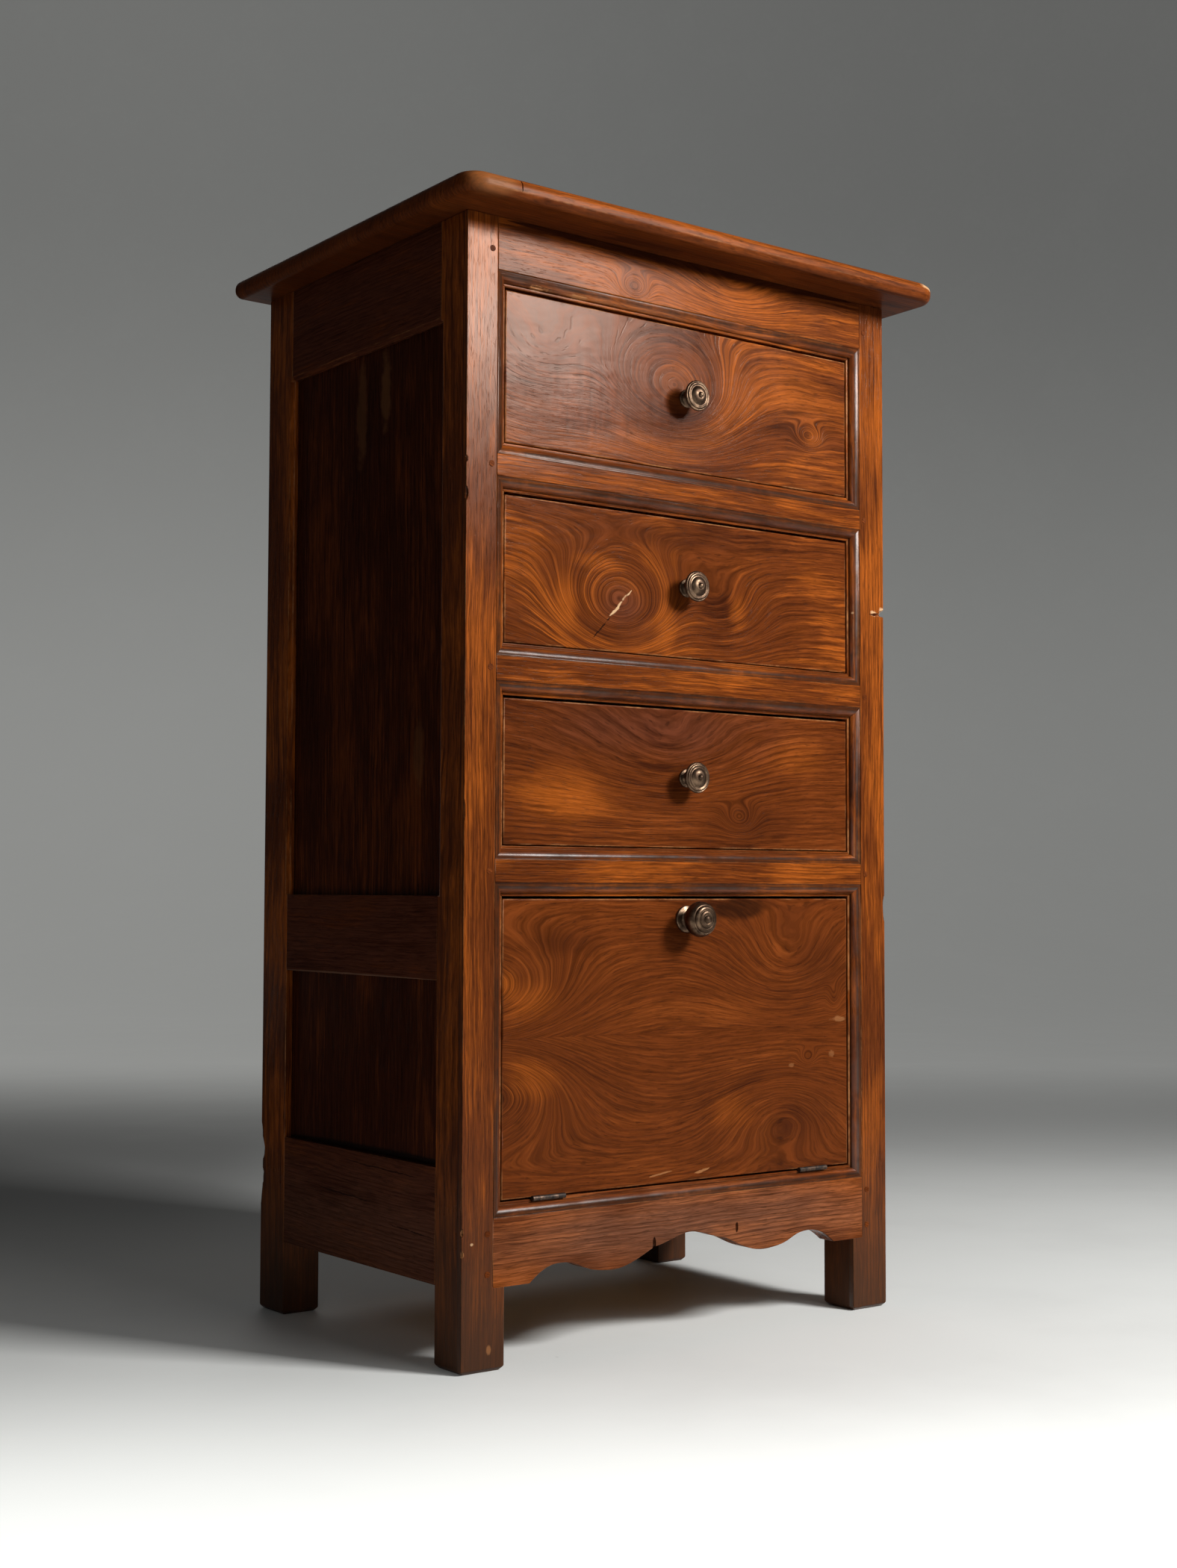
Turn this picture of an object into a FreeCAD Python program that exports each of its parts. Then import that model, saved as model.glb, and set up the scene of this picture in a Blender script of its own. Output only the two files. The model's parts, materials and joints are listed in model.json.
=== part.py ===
import FreeCAD, Part
import os

os.makedirs("parts", exist_ok=True)
V = FreeCAD.Vector

# Case, in millimetres, front towards -Y
case_width = 590.0
case_depth = 418.0

# Heights up the front, from the floor
leg_clear = 82.0
apron_face = 69.0
flap_opening = 308.5
lower_rail_face = 23.5
lower_opening = 154.0
middle_rail_face = 25.5
middle_opening = 156.0
upper_rail_face = 22.5
upper_opening = 162.5
top_rail_face = 55.0

# Heights up the sides
side_bottom_rail = 118.0
side_lower_panel = 188.0
side_middle_rail = 86.0
side_top_rail = 105.0

# Top board
board_thickness = 22.0
front_overhang = 57.0
side_overhang = 38.0
back_overhang = 20.0
board_front_corner = 26.0
board_back_corner = 6.0
board_top_round = 10.0
board_under_round = 9.0

# Posts
post_face = 38.0
front_post_depth = 49.0
back_post_depth = 55.0
back_post_width = 46.0
foot_chamfer = 4.0

# Moulding worked on the posts and rails round the openings
moulding_width = 14.0
moulding_recess = 8.0
moulding_fillet = 3.0
moulding_step = 1.5
moulding_quirk = 1.2
ovolo_rise = 2.2

# Frame joints
rail_thickness = 24.0
ear_depth = 10.0
tenon_length = 26.0
tenon_thickness = 9.0
tenon_set_back = 14.0
tenon_inset = 4.0
side_tenon_inset = 12.0
back_tenon_length = 22.0
peg_radius = 3.2
peg_length = 34.0
peg_proud = 0.4
peg_from_side = 31.0
apron_peg_spread = 40.0
top_peg_radius = 5.0
top_peg_length = 36.0
top_peg_in_board = 13.0

# Side and back panels
panel_recess = 9.0
panel_thickness = 8.0
groove_depth = 8.0
panel_play = 1.0
frame_chamfer = 4.0
back_board_gap = 0.5
back_board_count = 4

# Drawers
front_thickness = 20.0
front_set_back = 8.5
front_edge_round = 1.6
side_gap = 1.2
top_gap = 2.5
bottom_gap = 1.0
drawer_back_room = 13.5
side_thickness = 12.0
side_drop = 6.0
lap_thickness = 6.0
tail_flare = 2.4
tail_count = 3
tail_fill_share = 0.66
back_thickness = 11.0
back_drop = 5.0
back_housing = 5.0
back_from_end = 8.0
bottom_thickness = 7.0
bottom_height = 8.0
bottom_groove = 5.0
run_gap = 0.4

# Runners, kickers and stops
runner_height = 18.0
runner_ledge = 18.0
guide_height = 20.0
guide_gap = 0.6
inside_gap = 2.0
stub_length = 8.0
stub_inset = 4.0
kicker_gap = 0.8
stop_height = 4.0
stop_length = 40.0
stop_depth = 14.0
stop_from_middle = 110.0
stop_gap = 0.3

# Floor of the compartment
floor_thickness = 12.0
floor_drop = 2.0
floor_groove = 6.0

# Flap
flap_bottom_gap = 1.7
flap_seam_share = 0.53
seam_tongue = 6.0
flap_knob_drop = 22.0
flap_stop_width = 8.0
flap_stop_depth = 12.0
flap_stop_end = 14.0

# Hinges
hinge_length = 41.0
hinge_from_side = 90.0
barrel_radius = 2.75
pin_radius = 1.5
pin_clearance = 0.05
knuckle_count = 5
knuckle_gap = 0.3
barrel_clearance = 0.4
axis_forward = 2.5
leaf_thickness = 1.2
leaf_depth = 17.0
screw_count = 3
screw_radius = 1.4
screw_head = 2.8
screw_length = 11.0
screw_inset = 6.0
screw_clearance = 0.1

# Knobs, as shares of the rim radius and of the projection
knob_radius = 16.8
knob_projection = 28.0
flap_knob_radius = 19.2
flap_knob_projection = 39.5
knob_shank = 4.0
knob_shank_length = 16.0
fit_clearance = 0.1
knob_height_share = 0.50
knob_base_shares = [(0.54, 0.0), (0.60, 0.04), (0.56, 0.085), (0.44, 0.12)]
knob_neck_shares = [(0.44, 0.12), (0.32, 0.32), (0.42, 0.50)]
knob_cup_shares = [(0.42, 0.50), (0.72, 0.545), (0.95, 0.635)]
knob_rim_shares = [(0.95, 0.635), (1.0, 0.69), (0.945, 0.745)]
knob_groove_shares = [(0.945, 0.745), (0.905, 0.735), (0.87, 0.755)]
knob_ring_shares = [(0.87, 0.755), (0.81, 0.795), (0.74, 0.79)]
knob_dish_shares = [(0.74, 0.79), (0.66, 0.775), (0.58, 0.805)]
knob_dome_shares = [(0.58, 0.805), (0.40, 0.885), (0.20, 0.905)]
knob_nipple_shares = [(0.20, 0.905), (0.0, 1.0)]
ball_base_shares = [(0.70, 0.0), (0.76, 0.035), (0.70, 0.075), (0.56, 0.10)]
ball_neck_shares = [(0.56, 0.10), (0.36, 0.20), (0.50, 0.315)]
ball_back_shares = [(0.50, 0.315), (0.86, 0.44), (1.0, 0.62)]
ball_front_shares = [(1.0, 0.62), (0.96, 0.73), (0.84, 0.82)]
ball_first_groove_shares = [(0.84, 0.82), (0.775, 0.825), (0.75, 0.865)]
ball_first_ring_shares = [(0.75, 0.865), (0.67, 0.905), (0.575, 0.915)]
ball_second_groove_shares = [(0.575, 0.915), (0.535, 0.895), (0.495, 0.915)]
ball_second_ring_shares = [(0.495, 0.915), (0.40, 0.945), (0.29, 0.945)]
ball_third_groove_shares = [(0.29, 0.945), (0.255, 0.925), (0.22, 0.945)]
ball_tip_shares = [(0.22, 0.945), (0.0, 1.0)]

# Scalloped foot of the apron, shares of the half opening and of the rise
scallop_rise = 31.5
scallop_side_shares = [(0.872, 0.0), (0.823, 0.28), (0.765, 0.48), (0.695, 0.525), (0.646, 0.465),
                       (0.576, 0.245), (0.486, 0.10), (0.403, 0.09), (0.321, 0.25), (0.263, 0.44),
                       (0.206, 0.64)]
scallop_arch_shares = [(0.206, 0.64), (0.119, 0.80), (0.0, 1.0), (-0.119, 0.80), (-0.206, 0.64)]

# Cutting tools reach this far past the wood
over = 1.0

# Derived places
half = case_width / 2
post_width = post_face + moulding_width
half_opening = half - post_width
flap_low = leg_clear + apron_face + moulding_width
flap_high = flap_low + flap_opening
lower_low = flap_high + 2 * moulding_width + lower_rail_face
lower_high = lower_low + lower_opening
middle_low = lower_high + 2 * moulding_width + middle_rail_face
middle_high = middle_low + middle_opening
upper_low = middle_high + 2 * moulding_width + upper_rail_face
upper_high = upper_low + upper_opening
case_height = upper_high + moulding_width + top_rail_face
board_depth = front_overhang + case_depth + back_overhang
front_y = front_overhang - board_depth / 2
side_front = front_post_depth
side_back = case_depth - back_post_depth
side_low_top = leg_clear + side_bottom_rail
side_mid_low = side_low_top + side_lower_panel
side_mid_top = side_mid_low + side_middle_rail
side_top_low = case_height - side_top_rail
front_back = front_set_back + front_thickness
drawer_half = half_opening - side_gap
panel_outer = half - panel_recess
panel_inner = panel_outer - panel_thickness
rail_inner = half - rail_thickness
back_rail_front = case_depth - rail_thickness
drawer_end = back_rail_front - drawer_back_room
axis_y = front_set_back - axis_forward
axis_z = flap_low + flap_bottom_gap / 2


def save(name, shape):
    placed = shape.copy()
    placed.translate(V(0, front_y, 0))
    placed.exportStep("parts/" + name + ".step")


def block(x0, x1, y0, y1, z0, z1):
    return Part.makeBox(x1 - x0, y1 - y0, z1 - z0, V(x0, y0, z0))


def prism(points, along):
    return Part.Face(Part.makePolygon(points + points[:1])).extrude(along)


def mirrored(shape):
    return shape.mirror(V(0, 0, 0), V(1, 0, 0))


def both(shape):
    return [shape, mirrored(shape)]


def joined(shapes):
    if len(shapes) == 1:
        return shapes[0]
    return shapes[0].multiFuse(shapes[1:]).removeSplitter()


def cut_all(shape, tools):
    for tool in tools:
        shape = shape.cut(tool)
    return shape


# Moulding profile: s runs from the opening's edge into the wood, d runs back from the face
def moulding_cut(at, along):
    inner = at(-over, moulding_recess)
    fillet = at(moulding_fillet, moulding_recess)
    low = (moulding_fillet, moulding_recess - moulding_step)
    high = (moulding_width, moulding_quirk)
    run = high[0] - low[0]
    drop = low[1] - high[1]
    chord = (run ** 2 + drop ** 2) ** 0.5
    mid_s = (low[0] + high[0]) / 2 - ovolo_rise * drop / chord
    mid_d = (low[1] + high[1]) / 2 - ovolo_rise * run / chord
    line = [at(moulding_width, -over), at(-over, -over), inner, fillet, at(*low)]
    edges = [Part.makeLine(a, b) for a, b in zip(line[:-1], line[1:])]
    edges.append(Part.Arc(at(*low), at(mid_s, mid_d), at(*high)).toShape())
    edges.append(Part.makeLine(at(*high), line[0]))
    return Part.Face(Part.Wire(edges)).extrude(along)


def edge_moulding(z, up):
    sign = 1 if up else -1
    return moulding_cut(lambda s, d: V(-half, d, z + sign * s), V(case_width, 0, 0))


# Front rails: body, mitred ears over the post's moulding, tenons
def front_rail(z0, z1, depth, low_moulded, high_moulded):
    ear_low = z0 + moulding_width if low_moulded else z0
    ear_high = z1 - moulding_width if high_moulded else z1
    ear_x = half - post_face
    body = block(-half_opening, half_opening, 0, depth, z0, z1)
    corners = [V(half_opening, 0, z0), V(ear_x, 0, ear_low), V(ear_x, 0, ear_high), V(half_opening, 0, z1)]
    ear = prism(corners, V(0, ear_depth, 0))
    tenon = block(half_opening, half_opening + tenon_length,
                  tenon_set_back, tenon_set_back + tenon_thickness, z0 + tenon_inset, z1 - tenon_inset)
    return joined([body] + both(ear) + both(tenon))


front_rails = {
    "front_top_rail": front_rail(upper_high, case_height, rail_thickness, True, False),
    "upper_drawer_rail": front_rail(middle_high, upper_low, front_post_depth, True, True),
    "middle_drawer_rail": front_rail(lower_high, middle_low, front_post_depth, True, True),
    "lower_drawer_rail": front_rail(flap_high, lower_low, front_post_depth, True, True),
    "scalloped_apron": front_rail(leg_clear, flap_low, rail_thickness, False, True),
}
rail_mouldings = {
    "front_top_rail": [edge_moulding(upper_high, True)],
    "upper_drawer_rail": [edge_moulding(middle_high, True), edge_moulding(upper_low, False)],
    "middle_drawer_rail": [edge_moulding(lower_high, True), edge_moulding(middle_low, False)],
    "lower_drawer_rail": [edge_moulding(flap_high, True), edge_moulding(lower_low, False)],
    "scalloped_apron": [edge_moulding(flap_low, False)],
}


# Side rails on the right, tenoned into front and back posts
def side_rail(z0, z1):
    body = block(rail_inner, half, side_front, side_back, z0, z1)
    tenon = block(panel_inner, panel_outer, side_front - tenon_length, side_back + tenon_length,
                  z0 + side_tenon_inset, z1 - side_tenon_inset)
    return body.fuse(tenon)


def panel_slot(z0, z1):
    return block(panel_inner, panel_outer, side_front - groove_depth, side_back + groove_depth,
                 z0 - groove_depth, z1 + groove_depth)


def panel(z0, z1):
    fit = groove_depth - panel_play
    return block(panel_inner, panel_outer, side_front - fit, side_back + fit, z0 - fit, z1 + fit)


def ridge(corner, first, second, along):
    return prism([corner, corner + first, corner + second], along)


side_rails = {
    "top_rail": side_rail(side_top_low, case_height),
    "middle_rail": side_rail(side_mid_low, side_mid_top),
    "bottom_rail": side_rail(leg_clear, side_low_top),
}
side_panels = {
    "upper_panel": panel(side_mid_top, side_top_low),
    "lower_panel": panel(side_low_top, side_mid_low),
}
panel_slots = [panel_slot(side_mid_top, side_top_low), panel_slot(side_low_top, side_mid_low)]
in_chamfer = V(-frame_chamfer, 0, 0)
upper_run = V(0, 0, side_top_low - side_mid_top)
across_run = V(0, side_back - side_front, 0)
frame_chamfers = [
    ridge(V(half, side_front, side_mid_top), V(0, -frame_chamfer, 0), in_chamfer, upper_run),
    ridge(V(half, side_back, side_mid_top), V(0, frame_chamfer, 0), in_chamfer, upper_run),
    ridge(V(half, side_front, side_top_low), V(0, 0, frame_chamfer), in_chamfer, across_run),
]

# Compartment floor, notched round the posts
floor_top = flap_low - floor_drop
floor_low = floor_top - floor_thickness
floor_side = rail_inner + floor_groove
compartment_floor = joined([
    block(-floor_side, floor_side, side_front, side_back, floor_low, floor_top),
    block(-half_opening, half_opening, rail_thickness, side_front, floor_low, floor_top),
    block(back_post_width - half, half - back_post_width, side_back, back_rail_front, floor_low, floor_top),
])


# Back rails and boards
def back_rail(z0, z1):
    inner = half - back_post_width
    body = block(-inner, inner, back_rail_front, case_depth, z0, z1)
    reach = inner + back_tenon_length
    tenon = block(-reach, reach, back_rail_front + panel_thickness, back_rail_front + 2 * panel_thickness,
                  z0 + side_tenon_inset, z1 - side_tenon_inset)
    return body.fuse(tenon)


back_rails = {"back_top_rail": back_rail(side_top_low, case_height),
              "back_bottom_rail": back_rail(leg_clear, side_low_top)}
back_groove_half = half - back_post_width + groove_depth
boards_front = back_rail_front + panel_thickness
boards_back = boards_front + panel_thickness
back_slot = block(-back_groove_half, back_groove_half, boards_front, boards_back,
                  side_low_top - groove_depth, side_top_low + groove_depth)
back_fit = groove_depth - panel_play
back_half = half - back_post_width + back_fit
back_pitch = 2 * back_half / back_board_count
back_boards = []
for i in range(back_board_count):
    left = -back_half + i * back_pitch
    back_boards.append(block(left, left + back_pitch - back_board_gap, boards_front, boards_back,
                             side_low_top - back_fit, side_top_low + back_fit))


# Runners and kickers on the right, stub tenoned into the posts
def stub(z0, z1):
    return block(half - back_post_width + stub_inset, rail_inner - inside_gap - stub_inset,
                 side_front - stub_length, side_back + stub_length, z0 + stub_inset, z1 - stub_inset)


def runner(low):
    ledge_in = half_opening - runner_ledge
    guide_in = half_opening + guide_gap
    base = block(ledge_in, rail_inner - inside_gap, side_front, side_back, low - runner_height, low)
    guide = block(guide_in, rail_inner - inside_gap, side_front, side_back, low, low + guide_height)
    return joined([base, guide, stub(low - runner_height, low)])


def kicker(high):
    base = block(half_opening - runner_ledge, rail_inner - inside_gap, side_front, side_back,
                 high, high + runner_height)
    return base.fuse(stub(high, high + runner_height))


openings = {"upper": (upper_low, upper_high), "middle": (middle_low, middle_high),
            "lower": (lower_low, lower_high)}
runners = {name: runner(low) for name, (low, high) in openings.items()}
kickers = [kicker(high - top_gap - side_drop + kicker_gap) for low, high in openings.values()]

# Pegs through the front joints, and pegs that hold the top
peg_heights = [(upper_high + case_height) / 2, (middle_high + upper_low) / 2,
               (lower_high + middle_low) / 2, (flap_high + lower_low) / 2]
apron_middle = leg_clear + apron_face / 2
peg_heights += [apron_middle - apron_peg_spread / 2, apron_middle + apron_peg_spread / 2]


def front_peg(z, radius, extra):
    return Part.makeCylinder(radius, peg_length + peg_proud + extra,
                             V(half - peg_from_side, -peg_proud, z), V(0, 1, 0))


def top_peg(x, y, radius, extra):
    low = case_height + top_peg_in_board - top_peg_length - extra
    return Part.makeCylinder(radius, top_peg_length + 2 * extra, V(x, y, low), V(0, 0, 1))


top_peg_places = [(half - post_width / 2, front_post_depth / 2 + peg_length / 2),
                  (half - back_post_width / 2, case_depth - back_post_depth / 2)]
pegs = [front_peg(z, peg_radius, 0) for z in peg_heights]
pegs += [top_peg(x, y, top_peg_radius, 0) for x, y in top_peg_places]
peg_holes = [front_peg(z, peg_radius + fit_clearance, fit_clearance) for z in peg_heights]
top_holes = [top_peg(x, y, top_peg_radius + fit_clearance, fit_clearance) for x, y in top_peg_places]
peg_holes_both = peg_holes + [mirrored(hole) for hole in peg_holes]


# Posts on the right
def post(x0, x1, y0, y1):
    wood = block(x0, x1, y0, y1, 0, case_height)
    foot = [edge for edge in wood.Edges if edge.BoundBox.ZMax < foot_chamfer]
    return wood.makeChamfer(foot_chamfer, foot)


side_wood = list(side_rails.values()) + panel_slots + frame_chamfers
inner_wood = list(runners.values()) + kickers
front_post = post(half_opening, half, 0, front_post_depth)
post_run = V(0, 0, case_height + 2 * over)
front_post = front_post.cut(moulding_cut(lambda s, d: V(half_opening + s, d, -over), post_run))
in_front_post = list(front_rails.values()) + side_wood + inner_wood + peg_holes + top_holes
front_post = cut_all(front_post, in_front_post)
back_post = post(half - back_post_width, half, side_back, case_depth)
back_post = cut_all(back_post, list(back_rails.values()) + [back_slot] + side_wood + inner_wood + top_holes)

# Top board with rounded corners and nosing
board_half = half + side_overhang
top_board = block(-board_half, board_half, -front_overhang, case_depth + back_overhang,
                  case_height, case_height + board_thickness)
upright = [edge for edge in top_board.Edges if edge.BoundBox.ZLength > board_thickness / 2]
top_board = top_board.makeFillet(board_front_corner, [edge for edge in upright if edge.BoundBox.YMax < 0])
upright = [edge for edge in top_board.Edges if edge.BoundBox.ZLength > board_thickness / 2]
back_upright = [edge for edge in upright if edge.BoundBox.YMin > case_depth]
top_board = top_board.makeFillet(board_back_corner, back_upright)
board_middle = case_height + board_thickness / 2
flat_edges = [edge for edge in top_board.Edges if edge.BoundBox.ZLength < over]
upper_edges = [edge for edge in flat_edges if edge.BoundBox.ZMin > board_middle]
top_board = top_board.makeFillet(board_top_round, upper_edges)
flat_edges = [edge for edge in top_board.Edges if edge.BoundBox.ZLength < over]
top_board = top_board.makeFillet(board_under_round,
                                 [edge for edge in flat_edges if edge.BoundBox.ZMax < case_height + over])
top_board = cut_all(top_board, top_holes + [mirrored(hole) for hole in top_holes])


# Turned knobs, revolved about an axis that runs out of the front
def round_tip(start, tip):
    rise = start.y - tip.y
    radius = (start.x ** 2 + rise ** 2) / (2 * rise)
    centre = V(0, tip.y + radius, 0)
    way = start - centre + tip - centre
    return Part.Arc(start, centre + way * (radius / way.Length), tip).toShape()


def turned(stretches, radius, projection):
    place = lambda share: V(share[0] * radius, -share[1] * projection, 0)
    edges = [Part.makeLine(V(0, knob_shank_length, 0), V(knob_shank, knob_shank_length, 0)),
             Part.makeLine(V(knob_shank, knob_shank_length, 0), V(knob_shank, 0, 0)),
             Part.makeLine(V(knob_shank, 0, 0), place(stretches[0][0]))]
    for stretch in stretches:
        points = [place(share) for share in stretch]
        if len(points) == 2:
            edges.append(round_tip(*points))
        elif len(points) > 3:
            edges.append(Part.Arc(*points[:3]).toShape())
            edges.append(Part.makeLine(points[2], points[3]))
        else:
            edges.append(Part.Arc(*points).toShape())
    edges.append(Part.makeLine(place(stretches[-1][-1]), V(0, knob_shank_length, 0)))
    return Part.Face(Part.Wire(edges)).revolve(V(0, 0, 0), V(0, 1, 0), 360)


drawer_knob = turned([knob_base_shares, knob_neck_shares, knob_cup_shares, knob_rim_shares,
                      knob_groove_shares, knob_ring_shares, knob_dish_shares, knob_dome_shares,
                      knob_nipple_shares], knob_radius, knob_projection)
ball_knob = turned([ball_base_shares, ball_neck_shares, ball_back_shares, ball_front_shares,
                    ball_first_groove_shares, ball_first_ring_shares, ball_second_groove_shares,
                    ball_second_ring_shares, ball_third_groove_shares, ball_tip_shares],
                   flap_knob_radius, flap_knob_projection)


def at_front(knob, z):
    placed = knob.copy()
    placed.translate(V(0, front_set_back, z))
    return placed


def knob_hole(z):
    return Part.makeCylinder(knob_shank + fit_clearance, knob_shank_length + fit_clearance + over,
                             V(0, front_set_back - over, z), V(0, 1, 0))


def face_board(z0, z1):
    board = block(-drawer_half, drawer_half, front_set_back, front_back, z0, z1)
    face_edges = [edge for edge in board.Edges if edge.BoundBox.YMax < front_back]
    return board.makeFillet(front_edge_round, face_edges)


# Drawers: lapped dovetails at the front, housed back, bottom in grooves
def drawer(low, high):
    front = face_board(low + bottom_gap, high - top_gap)
    side_low = low + run_gap
    side_high = high - top_gap - side_drop
    lap_y = front_set_back + lap_thickness
    inner = drawer_half - side_thickness
    side = block(inner, drawer_half, front_back, drawer_end, side_low, side_high)
    pitch = (side_high - side_low - bottom_gap) / tail_count
    tails = []
    for i in range(tail_count):
        middle = side_low + bottom_gap + (i + 0.5) * pitch
        tip = tail_fill_share * pitch / 2
        root = tip - tail_flare
        tails.append(prism([V(inner, front_back, middle - root), V(inner, lap_y, middle - tip),
                            V(inner, lap_y, middle + tip), V(inner, front_back, middle + root)],
                           V(side_thickness, 0, 0)))
    back_y = drawer_end - back_from_end - back_thickness
    bottom_low = side_low + bottom_height
    bottom_top = bottom_low + bottom_thickness
    reach = inner + bottom_groove
    bottom = block(-reach, reach, front_back - bottom_groove, back_y + back_thickness,
                   bottom_low, bottom_top)
    back_reach = inner + back_housing
    back = block(-back_reach, back_reach, back_y, back_y + back_thickness,
                 bottom_top, side_high - back_drop)
    side = cut_all(joined([side] + tails), [bottom, back])
    knob_z = low + knob_height_share * (high - low)
    tail_holes = [piece for tail in tails for piece in both(tail)]
    front = cut_all(front, tail_holes + [bottom, knob_hole(knob_z)])
    return {"front": front, "left_side": mirrored(side), "right_side": side, "back": back, "bottom": bottom,
            "knob": at_front(drawer_knob, knob_z)}


# Drawer stops on the rails, two to a drawer
stops = []
for low, high in openings.values():
    stop_front = front_back + stop_gap
    stops += both(block(stop_from_middle, stop_from_middle + stop_length,
                        stop_front, stop_front + stop_depth, low, low + stop_height))

# Flap of two boards, tongued together
flap_bottom = flap_low + flap_bottom_gap
flap_top = flap_high - top_gap
seam = flap_bottom + flap_seam_share * (flap_top - flap_bottom)
tongue_front = front_set_back + (front_thickness - seam_tongue) / 2
whole_flap = face_board(flap_bottom, flap_top)
below = block(-half, half, 0, front_post_depth, 0, seam)
tongue = block(-half, half, tongue_front, tongue_front + seam_tongue, seam, seam + seam_tongue)
below = below.fuse(tongue)
flap_knob_z = flap_top - flap_knob_drop
flap_upper = whole_flap.cut(below).cut(knob_hole(flap_knob_z))
flap_lower = whole_flap.common(below)

# Hinges on the right, knuckles shared between the leaves
hinge_x1 = half - hinge_from_side
hinge_x0 = hinge_x1 - hinge_length
knuckle = hinge_length / knuckle_count
leaf_back = axis_y + leaf_depth
leaf_front = axis_y + barrel_radius + knuckle_gap
screw_pitch = (hinge_length - 2 * screw_inset) / (screw_count - 1)
screw_y = (leaf_front + leaf_back) / 2


def leaf(first, z0, z1):
    plate = block(hinge_x0, hinge_x1, leaf_front, leaf_back, z0, z1)
    bits = [plate]
    for i in range(first, knuckle_count, 2):
        start = hinge_x0 + i * knuckle + (knuckle_gap / 2 if i > 0 else 0)
        end = hinge_x0 + (i + 1) * knuckle - (knuckle_gap / 2 if i < knuckle_count - 1 else 0)
        bits.append(Part.makeCylinder(barrel_radius, end - start, V(start, axis_y, axis_z), V(1, 0, 0)))
        bits.append(block(start, end, axis_y, leaf_front, z0, z1))
    bore = Part.makeCylinder(pin_radius + pin_clearance, hinge_length,
                             V(hinge_x0, axis_y, axis_z), V(1, 0, 0))
    return joined(bits).cut(bore)


def screw(x, z, up, grow):
    sign = 1 if up else -1
    reach = screw_length + grow
    head_radius = screw_head + grow
    shank = screw_radius + grow
    points = [V(x, screw_y, z), V(x + head_radius, screw_y, z),
              V(x + shank, screw_y, z + sign * leaf_thickness),
              V(x + shank, screw_y, z + sign * reach), V(x, screw_y, z + sign * reach)]
    return Part.Face(Part.makePolygon(points + points[:1])).revolve(V(x, screw_y, z), V(0, 0, 1), 360)


screw_places = [hinge_x0 + screw_inset + i * screw_pitch for i in range(screw_count)]
apron_leaf = leaf(0, flap_low - leaf_thickness, flap_low)
flap_leaf = leaf(1, flap_bottom, flap_bottom + leaf_thickness)
apron_screws = [screw(x, flap_low, False, 0) for x in screw_places]
flap_screws = [screw(x, flap_bottom, True, 0) for x in screw_places]
apron_holes = [screw(x, flap_low, False, screw_clearance) for x in screw_places]
flap_holes = [screw(x, flap_bottom, True, screw_clearance) for x in screw_places]
apron_leaf = cut_all(apron_leaf, apron_holes)
flap_leaf = cut_all(flap_leaf, flap_holes)
pin = Part.makeCylinder(pin_radius, hinge_length, V(hinge_x0, axis_y, axis_z), V(1, 0, 0))
barrel_room = Part.makeCylinder(barrel_radius + barrel_clearance, hinge_length + 2 * barrel_clearance,
                                V(hinge_x0 - barrel_clearance, axis_y, axis_z), V(1, 0, 0))
apron_room = block(hinge_x0, hinge_x1, axis_y, leaf_back, flap_low - leaf_thickness, flap_low)
flap_room = block(hinge_x0, hinge_x1, axis_y, leaf_back, flap_bottom, flap_bottom + leaf_thickness)
flap_cuts = [piece for tool in [barrel_room, flap_room] + flap_holes for piece in both(tool)]
apron_cuts = [piece for tool in [barrel_room, apron_room] + apron_holes for piece in both(tool)]
flap_lower = cut_all(flap_lower, flap_cuts)

# Strips the flap closes against
flap_stop_front = front_back + stop_gap
flap_stop = block(half_opening - flap_stop_width, half_opening,
                  flap_stop_front, flap_stop_front + flap_stop_depth,
                  flap_bottom + flap_stop_end, flap_top - flap_stop_end)


# Foot of the apron: curves between the cusps
def scallop_points(shares):
    return [V(x * half_opening, -over, leg_clear + z * scallop_rise) for x, z in shares]


def through(points):
    curve = Part.BSplineCurve()
    curve.interpolate(points)
    return curve.toShape()


right_side = scallop_points(scallop_side_shares)
arch = scallop_points(scallop_arch_shares)
left_side = [V(-p.x, p.y, p.z) for p in reversed(right_side)]
drop = V(0, 0, -over)
scallop = Part.Wire([through(right_side), through(arch), through(left_side),
                     Part.makeLine(left_side[-1], left_side[-1] + drop),
                     Part.makeLine(left_side[-1] + drop, right_side[0] + drop),
                     Part.makeLine(right_side[0] + drop, right_side[0])])
scallop_tool = Part.Face(scallop).extrude(V(0, rail_thickness + 2 * over, 0))

# Finish the rails
for name, rail in front_rails.items():
    rail = cut_all(rail, rail_mouldings[name] + peg_holes_both)
    if name == "scalloped_apron":
        rail = cut_all(rail, [scallop_tool] + apron_cuts)
    save(name, rail)
for name, rail in side_rails.items():
    rail = cut_all(rail, panel_slots + frame_chamfers + [compartment_floor])
    save("right_" + name, rail)
    save("left_" + name, mirrored(rail))
for name, board in side_panels.items():
    save("right_" + name, board)
    save("left_" + name, mirrored(board))
for name, rail in back_rails.items():
    save(name, rail.cut(back_slot))

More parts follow.
